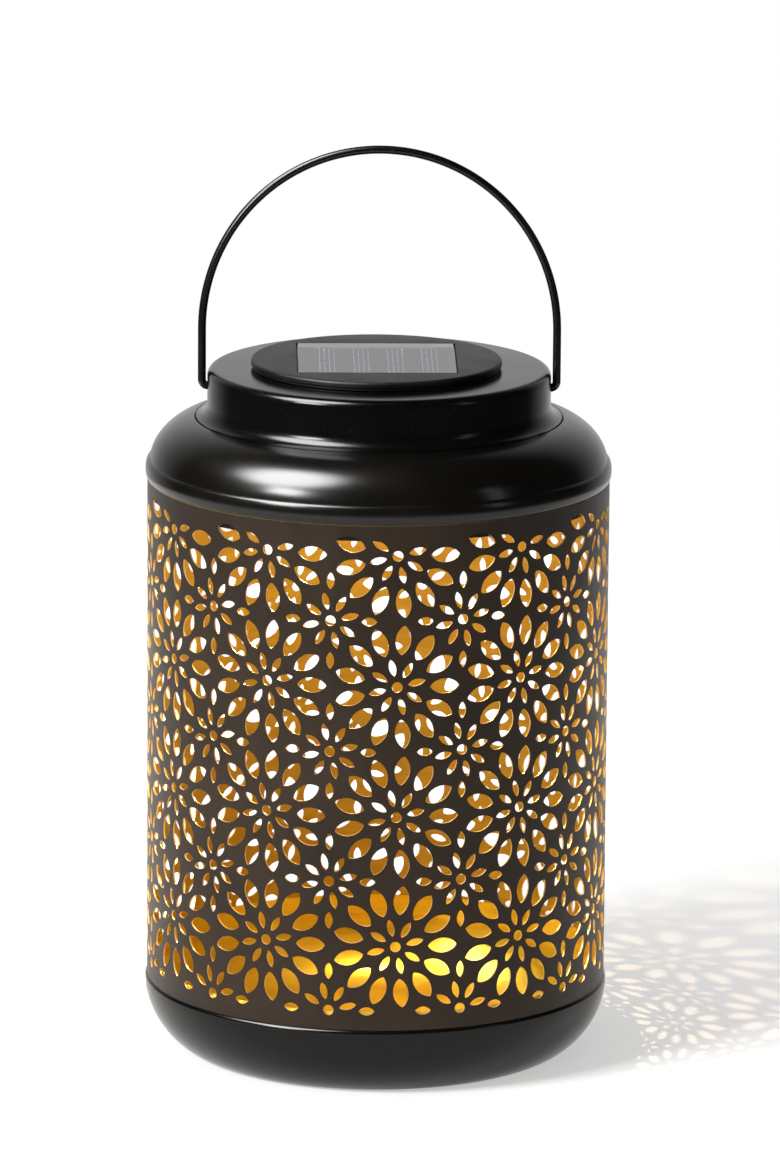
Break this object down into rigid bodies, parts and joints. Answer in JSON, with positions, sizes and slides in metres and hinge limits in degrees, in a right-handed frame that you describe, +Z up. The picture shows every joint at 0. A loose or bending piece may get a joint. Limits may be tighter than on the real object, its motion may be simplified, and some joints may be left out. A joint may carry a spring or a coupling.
{
  "type": "solar lantern",
  "caption": "Solar lantern: rolled metal cylinder with cut flower openings, pressed base, domed shoulder and flat cap, a swinging wire bail, and a lift-out solar module with its light.",
  "frame": {"origin": "centre of the base's underside, on the surface the lantern stands on", "axes": "+Z up, -Y towards the front, X along the bail's pivot axis; the bail stands upright"},
  "size_m": [0.1492, 0.1492, 0.2943],
  "materials": {
    "black_paint": "satin",
    "bronze_paint": "satin",
    "black_plastic": "satin",
    "solar_cells": "clear coated",
    "seal_rubber": "matte",
    "board_green": "satin",
    "warm_led": "lit",
    "clear_plastic": "clear",
    "battery_wrap": "shrink wrap",
    "plated_steel": "plated",
    "red_lead": "satin",
    "black_lead": "satin"
  },
  "bodies": {
    "root": {"base_pan": "black_paint", "perforated_sheet": "bronze_paint", "dome": "bronze_paint", "cap": "black_paint"},
    "handle": {"bail": "black_paint"},
    "solar_module": {"module_disc": "black_plastic", "seal_ring": "seal_rubber", "solar_panel": "solar_cells", "module_housing": "black_plastic", "circuit_board": "board_green", "led": "warm_led", "led_lens": "clear_plastic", "battery": "battery_wrap", "battery_plate": "plated_steel", "battery_spring": "plated_steel", "switch_body": "plated_steel", "board_screw_1": "plated_steel", "board_screw_2": "plated_steel", "housing_screw_1": "plated_steel", "housing_screw_2": "plated_steel", "housing_screw_3": "plated_steel", "panel_lead_red": "red_lead", "panel_lead_black": "black_lead", "battery_lead_red": "red_lead", "battery_lead_black": "black_lead"},
    "switch": {"switch_knob": "black_plastic"},
    "door": {"battery_door": "black_plastic"}
  },
  "joints": [
    {"name": "bail_swing", "type": "hinge", "parent": "root", "child": "handle", "pos_m": [0, 0, 0.2163], "axis": [1, 0, 0], "range_deg": [-103, 103]},
    {"name": "module_lift", "type": "slide", "parent": "root", "child": "solar_module", "axis": [0, 0, 1], "range_m": [0, 0.042]},
    {"name": "switch_slide", "type": "slide", "parent": "solar_module", "child": "switch", "axis": [0.9998, 0.0175, 0], "range_m": [0, 0.003]},
    {"name": "door_pull", "type": "slide", "parent": "solar_module", "child": "door", "axis": [0, 0, -1], "range_m": [0, 0.012]}
  ]
}
